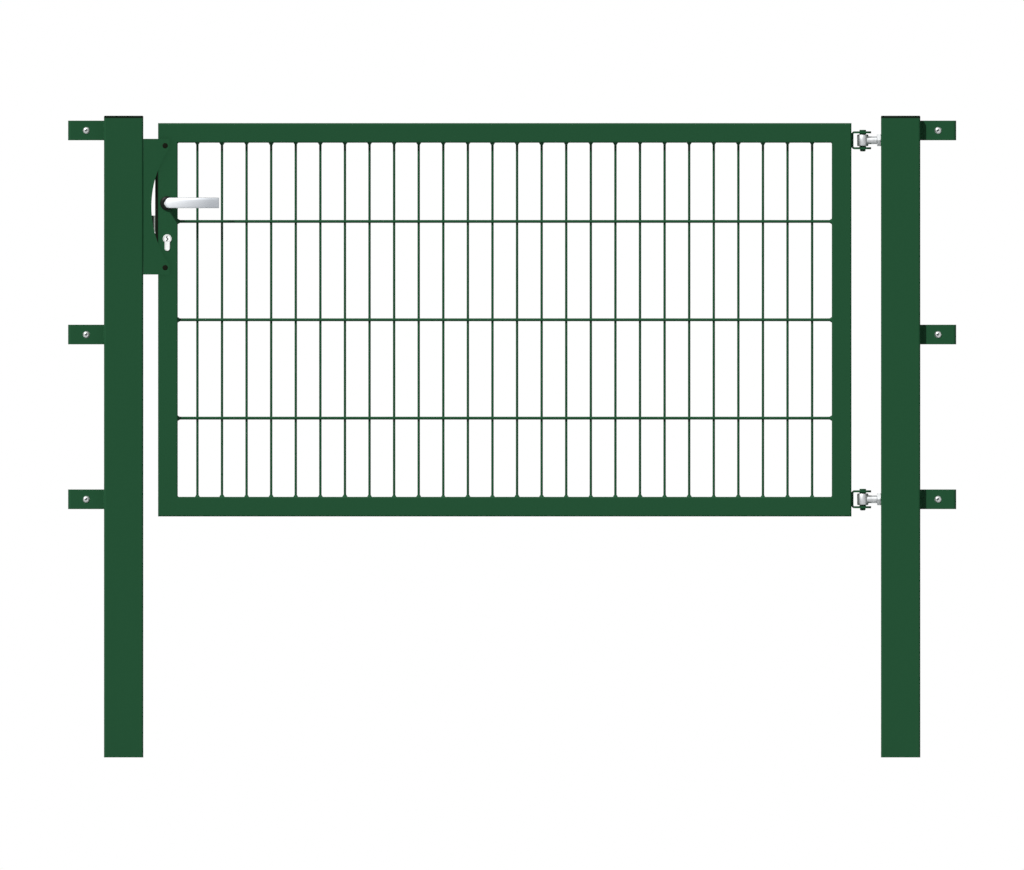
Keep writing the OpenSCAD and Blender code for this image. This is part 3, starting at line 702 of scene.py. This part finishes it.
for end in ("top", "bottom"):
    dress(f"{end}_hinge_bracket", green_coat)
    low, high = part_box(f"{end}_hinge_bracket")
    pin_low, pin_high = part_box(f"{end}_hinge_pin")
    bm = bmesh.new()
    pin_x, pin_y = (pin_low.x + pin_high.x) / 2, (pin_low.y + pin_high.y) / 2
    head_r, foot_r = (pin_high.x - pin_low.x) / 2, 0.00575
    ease = 0.0007
    turned(bm, [
        (0, pin_low.z), (foot_r - 0.0022, pin_low.z), (foot_r - 0.0006, pin_low.z + 0.0008),
        (foot_r, pin_low.z + 0.002), (foot_r, low.z), (PIN_D / 2, low.z), (PIN_D / 2, high.z),
        (head_r - ease * 0.3, high.z), (head_r, high.z + ease), (head_r, pin_high.z - ease),
        (head_r - ease, pin_high.z), (0, pin_high.z),
    ], Matrix.Translation((pin_x, pin_y, 0)), 48)
    piece = f"{end}_riveted_pin"
    add_piece(piece, finished(bm, piece, green_coat), "leaf", [f"{end}_hinge_pin"])
    edges = [[(low.x + 0.0004, y, low.z + 0.005), (low.x + 0.0004, y, high.z - 0.005)] for y in (low.y, high.y)]
    weld_piece(f"{end}_hinge_welds", edges, "leaf", 0.0018, 5)

# Lock: a folded black face plate screwed to the stile's edge, a steel case inside the tube, and
# a nickel plated profile cylinder that shows on both sides of the leaf.

black_coat = moulded_plastic("black_coat", (0.0050, 0.0068, 0.0038), 0.60, 1300.0, 0.07)
dress("lock_face_plate", black_coat)
dress("lock_case", zinc)

nickel = zinc_plate("satin_nickel", (0.84, 0.86, 0.84), 0.30)
# The keyway and the plug's groove get a near black material: painted shade for their depths.
keyway_shadow = moulded_plastic("oiled_keyway", (0.010, 0.011, 0.010), 0.7, 900.0, 0.05)

FACE_SCREW_D = 0.0085
low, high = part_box("lock_face_plate")
bm = bmesh.new()
for z in (low.z + 0.010, high.z - 0.010):
    place = Matrix.Translation((low.x, (low.y + high.y) / 2, z)) @ AXIS_RIGHT.inverted()
    socket = hexagon(0.003, 0.2)
    half = FACE_SCREW_D / 2
    turned(bm, [(0, -0.0016), (socket, -0.0014), (socket, 0.0003), (half * 0.8, 0.0005), (half, 0.0001),
                (half * 0.6, -0.0019), (0, -0.0019)], place, 36)
add_piece("face_plate_screws", finished(bm, "face_plate_screws", zinc), "leaf")


def outline_prism(bm, points, y0, y1, ease):
    """Stands an outline of (x, z) points up from y0 to y1 with its two rims eased."""
    centre = Vector((sum(p[0] for p in points) / len(points), sum(p[1] for p in points) / len(points)))
    rows = []
    for y, inset in ((y0, ease), (y0 + ease, 0), (y1 - ease, 0), (y1, ease)):
        row = []
        for i, point in enumerate(points):
            before, after = Vector(points[i - 1]), Vector(points[(i + 1) % len(points)])
            along = (after - before).normalized()
            inward = Vector((-along.y, along.x))
            if inward.dot(centre - Vector(point)) < 0:
                inward.negate()
            spot = Vector(point) + inward * inset
            row.append(bm.verts.new((spot.x, y, spot.y)))
        rows.append(row)
    for near, far in zip(rows, rows[1:]):
        for i in range(len(points)):
            j = (i + 1) % len(points)
            bm.faces.new((near[i], near[j], far[j], far[i]))
    bm.faces.new(rows[0])
    bm.faces.new(rows[-1])


def cut_away(mesh, cutter):
    """Takes one closed mesh out of another; the faces of the cut take the second one's material."""
    body = bpy.data.objects.new("body", mesh)
    tool = bpy.data.objects.new("tool", cutter)
    for item in (body, tool):
        bpy.context.scene.collection.objects.link(item)
    cut = body.modifiers.new("cut", "BOOLEAN")
    cut.operation = "DIFFERENCE"
    cut.object = tool
    cut.solver = "EXACT"
    cut.material_mode = "TRANSFER"
    graph = bpy.context.evaluated_depsgraph_get()
    result = bpy.data.meshes.new_from_object(body.evaluated_get(graph))
    body.modifiers.clear()
    for item in (body, tool):
        bpy.data.objects.remove(item)
    result.shade_smooth()
    result.set_sharp_from_angle(angle=math.radians(30))
    return result


CYLINDER_D, CYLINDER_STEM = 0.017, 0.010
PLUG_D = 0.0130
KEYWAY = ((0.0012, 0.0052), (-0.0010, 0.0040), (-0.0012, 0.0020), (0.0010, 0.0006), (0.0012, -0.0020), (-0.0010, -0.0036),
          (-0.0006, -0.0054))

low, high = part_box("lock_cylinder")
axis_x, axis_z = (low.x + high.x) / 2, high.z - CYLINDER_D / 2
foot_z = low.z + CYLINDER_STEM / 2
head_r, stem_r = CYLINDER_D / 2 - 0.0003, CYLINDER_STEM / 2 - 0.0003
meet = math.asin(stem_r / head_r)
outline = []
for i in range(41):
    angle = -math.pi / 2 + meet + (2 * math.pi - 2 * meet) * i / 40
    outline.append((axis_x + head_r * math.cos(angle), axis_z + head_r * math.sin(angle)))
for i in range(17):
    angle = math.pi + math.pi * i / 16
    outline.append((axis_x + stem_r * math.cos(angle), foot_z + stem_r * math.sin(angle)))
bm = bmesh.new()
outline_prism(bm, outline, low.y, high.y, 0.0007)
barrel = finished(bm, "profile_cylinder", nickel, 30)

bm = bmesh.new()
groove = 0.00035
for y, sign in ((low.y, 1), (high.y, -1)):
    face = Matrix.Translation((axis_x, y, axis_z)) @ (AXIS_FRONT if sign > 0 else AXIS_FRONT.inverted())
    ring = [(PLUG_D / 2, -0.0007), (PLUG_D / 2 + groove, -0.0007), (PLUG_D / 2 + groove, 0.001), (PLUG_D / 2, 0.001)]
    turned(bm, ring, face, 48, loop=True)
    half_w = 0.00125
    left = [(axis_x + sign * x - half_w, axis_z + z) for x, z in KEYWAY]
    right = [(axis_x + sign * x + half_w, axis_z + z) for x, z in reversed(KEYWAY)]
    slot_outline = left + right
    near = [bm.verts.new((x, y - sign * 0.001, z)) for x, z in slot_outline]
    far = [bm.verts.new((x, y + sign * 0.009, z)) for x, z in slot_outline]
    count = len(slot_outline)
    for i in range(count):
        j = (i + 1) % count
        bm.faces.new((near[i], near[j], far[j], far[i]))
    bm.faces.new(near)
    bm.faces.new(far)
cutter = finished(bm, "keyway_cutter", keyway_shadow)
add_piece("profile_cylinder", cut_away(barrel, cutter), "leaf", ["lock_cylinder"])

# Rosettes: turned black plastic bushings on both faces of the stile, which carry the levers.
# A low flange covers the hole in the tube, and a collar guides the spindle.

rosette_plastic = moulded_plastic("black_rosette_plastic", (0.0028, 0.0040, 0.0028), 0.38, 1100.0, 0.12)
for side, name in ((1, "front"), (-1, "rear")):
    low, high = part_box(f"{name}_rosette")
    radius, height = (high.x - low.x) / 2, high.y - low.y
    face_y = high.y if side > 0 else low.y
    axis = AXIS_FRONT if side > 0 else AXIS_FRONT.inverted()
    place = Matrix.Translation(((low.x + high.x) / 2, face_y, (low.z + high.z) / 2)) @ axis
    bm = bmesh.new()
    turned(bm, [
        (0.0058, 0), (radius, 0), (radius, 0.0018), (radius - 0.0003, 0.0024), (radius - 0.001, 0.003),
        (0.0124, 0.0033), (0.0119, 0.0037), (0.0118, 0.0045), (0.0118, height - 0.0010),
        (0.0096, height), (0.0088, height), (0.0082, height - 0.0008), (0.0058, height - 0.0008),
    ], place, 72, loop=True)
    piece = f"{name}_rosette_bushing"
    add_piece(piece, finished(bm, piece, rosette_plastic, 40), "leaf", [f"{name}_rosette"])

# Lever handles: cast aluminium, ground along their length and anodised satin. Each grip is a little
# crowned and bowed, with a round near end, and its neck is pinned to the steel spindle.

GRIP_T, GRIP_H, GRIP_BACK, GRIP_LIFT = 0.014, 0.0216, 0.0047, 0.0008
GRIP_BOW, GRIP_CROWN = 0.0044, 0.0012
NECK_HALF_W, NECK_HALF_H, NECK_SHIFT = 0.0071, 0.0096, 0.0026
GRIP_STEPS, GRIP_SIDES = 40, 56


def satin_aluminium(name):
    material, draw, feed = start_material(name, {"Anisotropic": 0.2})
    place = object_place(draw)
    stretched = draw.node("ShaderNodeMapping", {}, {"Vector": place, "Scale": (14.0, 900.0, 900.0)})
    brushed = noise(draw, stretched, 1.0, 3.0, 0.6)
    haze = noise(draw, place, 30.0, 3.0)
    along = draw.node("ShaderNodeSeparateXYZ", {}, {0: place}, out=0)
    # Painted highlight: the base colour runs from pale at the neck end to grey at the tip, standing in for the light
    # along the grip, and the haze adds a random tone.
    painted_highlight_and_haze = along.clamped(-1.405, -1.497) + 0.12 * haze - 0.06
    feed("Base Color", painted_highlight_and_haze.clamped(0.0, 1.0).mixed((0.40, 0.42, 0.445, 1), (0.73, 0.75, 0.77, 1)))
    feed("Metallic", 0.94 + 0.02 * haze)
    feed("Roughness", 0.42 + 0.08 * brushed)
    feed("Normal", bump(draw, brushed, 0.06, 0.0001))
    return material


lever_alloy = satin_aluminium("satin_aluminium")
dress("spindle", zinc)


def grip_section(angle):
    """Width and depth on the grip's section at an angle, crowned to the front and the back."""
    c, s = math.cos(angle), math.sin(angle)
    power = 0.36
    up = math.copysign(abs(s) ** power, s) * GRIP_H / 2
    out = math.copysign(abs(c) ** power, c) * (GRIP_T / 2 - GRIP_CROWN)
    out += math.copysign(GRIP_CROWN, c) * (1 - (2 * up / GRIP_H) ** 2) * min(1, abs(c) * 3)
    return up, out


def neck_oval(share):
    """Radius of the neck's oval about the spindle at an angle, at a share of its full size."""
    def radius(angle):
        c, s = math.cos(angle) / NECK_HALF_W, math.sin(angle) / NECK_HALF_H
        shift = NECK_SHIFT / NECK_HALF_W
        square = c * c + s * s
        return share * (c * shift + math.sqrt(c * c * shift * shift + square * (1 - shift * shift))) / square
    return radius


for side, name in ((1, "front"), (-1, "rear")):
    low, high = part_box(f"{name}_lever")
    spindle_low, spindle_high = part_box("spindle")
    axis_x, axis_z = (spindle_low.x + spindle_high.x) / 2, (spindle_low.z + spindle_high.z) / 2
    outer_y = low.y if side > 0 else high.y
    rosette_low, rosette_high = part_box(f"{name}_rosette")
    rosette_y = rosette_low.y if side > 0 else rosette_high.y
    left, right = axis_x - GRIP_BACK, high.x
    bend = left + GRIP_H / 2
    bm = bmesh.new()
    rows = []
    stations = [left + GRIP_H / 2 * (1 - math.cos(math.pi / 2 * i / 14)) for i in range(15)]
    stations += [bend + (right - 0.0008 - bend) * i / GRIP_STEPS for i in range(1, GRIP_STEPS + 1)]
    stations += [right - 0.0003, right]
    for x in stations:
        share = 2 * (x - left) / (right - left) - 1
        bow = GRIP_BOW * share * share
        reach = math.sqrt(max(0.0, 1 - ((bend - x) / (GRIP_H / 2)) ** 2)) if x < bend else 1.0
        rim = 0.0 if x < right - 0.0005 else (0.0002 if x < right else 0.0007)
        row = []
        for i in range(GRIP_SIDES):
            up, out = grip_section(2 * math.pi * i / GRIP_SIDES)
            up *= reach * (1 - rim / (GRIP_H / 2))
            out *= (0.45 + 0.55 * reach) * (1 - rim / (GRIP_T / 2)) if reach > 0 else 0
            y = outer_y + side * (GRIP_T / 2 + bow) - side * out
            row.append((x, y, axis_z + GRIP_LIFT + up))
        rows.append([bm.verts.new(row[0])] if reach == 0 else [bm.verts.new(p) for p in row])
    for near, far in zip(rows, rows[1:]):
        for i in range(GRIP_SIDES):
            j = (i + 1) % GRIP_SIDES
            corners = [near[i % len(near)], near[j % len(near)], far[j % len(far)], far[i % len(far)]]
            bm.faces.new(list(dict.fromkeys(corners)))
    bm.faces.new(rows[-1])
    neck_place = Matrix.Translation((axis_x, rosette_y, axis_z)) @ (AXIS_FRONT if side > 0 else AXIS_FRONT.inverted())
    neck_reach = abs(outer_y - rosette_y) - GRIP_T / 2 - 0.001
    turned(bm, [(0, 0.0003), (0.0050, 0.0003), (0.0050, 0.0014), (neck_oval(0.86), 0.0018), (neck_oval(0.95), 0.0022),
                (neck_oval(1.0), 0.0031), (neck_oval(0.97), 0.014), (neck_oval(0.99), neck_reach), (0, neck_reach)],
           neck_place, 48)
    piece = f"{name}_lever_handle"
    add_piece(piece, finished(bm, piece, lever_alloy, 45), "handle", [f"{name}_lever"])

# Latch bolt: a grey steel bolt with a bevelled nose, sprung out of the lock case and drawn back by the
# lever. Its dull grey is partly the steel's own colour and partly painted shade for the keep it stands in.

bolt_steel = zinc_plate("grey_bolt_steel", (0.33, 0.36, 0.33), 0.60, 0.30)
dress("latch_bolt", bolt_steel)

# Studio: a plain pale floor, one key lamp from the upper left front and an even fill all round.
# The floor and the world are white to the camera and to mirrors, and dim to everything else.

FLOOR_HALF = 9.0
FILL = (0.175, 0.180, 0.200, 1)
KEY_STRENGTH = 3.92
KEY_DIRECTION = Vector((0.70, 1.0, -1.06))
BACK_STRENGTH = 1.6
BACK_DIRECTION = Vector((-0.5, -1.0, -0.6))

floor_mesh = bpy.data.meshes.new("floor")
floor_mesh.from_pydata(
    [(x, y, 0) for x, y in ((-FLOOR_HALF, -FLOOR_HALF), (FLOOR_HALF, -FLOOR_HALF),
                            (FLOOR_HALF, FLOOR_HALF), (-FLOOR_HALF, FLOOR_HALF))],
    [], [(0, 1, 2, 3)])
floor = bpy.data.objects.new("floor", floor_mesh)
bpy.context.scene.collection.objects.link(floor)


def seen_directly(draw):
    """1 for rays from the camera and those that mirrors and glass send on, or else 0."""
    rays = draw.node("ShaderNodeLightPath")
    outs = rays.socket.node.outputs
    camera, glossy, through = (Shade(draw.tree, outs[n]) for n in ("Is Camera Ray", "Is Glossy Ray", "Is Transmission Ray"))
    return (camera + glossy + through).clamped(0.0, 1.0)


floor_material, draw, feed = start_material("pale_floor", {"Roughness": 0.9, "Specular IOR Level": 0.1})
speck = noise(draw, object_place(draw), 60.0, 3.0)
pale = speck.clamped(0.2, 0.8).mixed((0.86, 0.86, 0.86, 1), (0.90, 0.90, 0.90, 1))
feed("Base Color", seen_directly(draw).mixed((0.22, 0.22, 0.23, 1), pale))
floor_mesh.materials.append(floor_material)

world = bpy.data.worlds.new("studio")
world.use_nodes = True
bpy.context.scene.world = world
draw = Shade(world.node_tree)
background = world.node_tree.nodes["Background"]
tone = seen_directly(draw).mixed(FILL, (1, 1, 1, 1))
world.node_tree.links.new(tone.socket, background.inputs["Color"])
background.inputs["Strength"].default_value = 1.0

key = bpy.data.lights.new("key", "SUN")
key.energy = KEY_STRENGTH
key.angle = math.radians(2.5)
key_object = bpy.data.objects.new("key", key)
key_object.rotation_euler = KEY_DIRECTION.to_track_quat("-Z", "Y").to_euler()
key_object.location = (-2.5, -4.0, 4.0)
bpy.context.scene.collection.objects.link(key_object)
passed_by_key = bpy.data.collections.new("passed_by_key")
for thing in (nodes["stop_plate"], *buffers):
    passed_by_key.objects.link(thing)
for entry in passed_by_key.collection_objects:
    entry.light_linking.link_state = "EXCLUDE"
key_object.light_linking.blocker_collection = passed_by_key

back = bpy.data.lights.new("back", "SUN")
back.energy = BACK_STRENGTH
back.angle = math.radians(20)
back_object = bpy.data.objects.new("back", back)
back_object.rotation_euler = BACK_DIRECTION.to_track_quat("-Z", "Y").to_euler()
back_object.location = (1.5, 4.0, 4.0)
bpy.context.scene.collection.objects.link(back_object)

VIEW_WIDTH = 2.0823
VIEW_CENTRE = (-0.7903, 0.6557)

camera = bpy.data.cameras.new("camera")
camera.type = "ORTHO"
camera.ortho_scale = VIEW_WIDTH
camera_object = bpy.data.objects.new("camera", camera)
camera_object.location = (VIEW_CENTRE[0], -6.0, VIEW_CENTRE[1])
camera_object.rotation_euler = (math.pi / 2, 0, 0)
bpy.context.scene.collection.objects.link(camera_object)
bpy.context.scene.camera = camera_object
bpy.context.scene.view_settings.view_transform = "Standard"
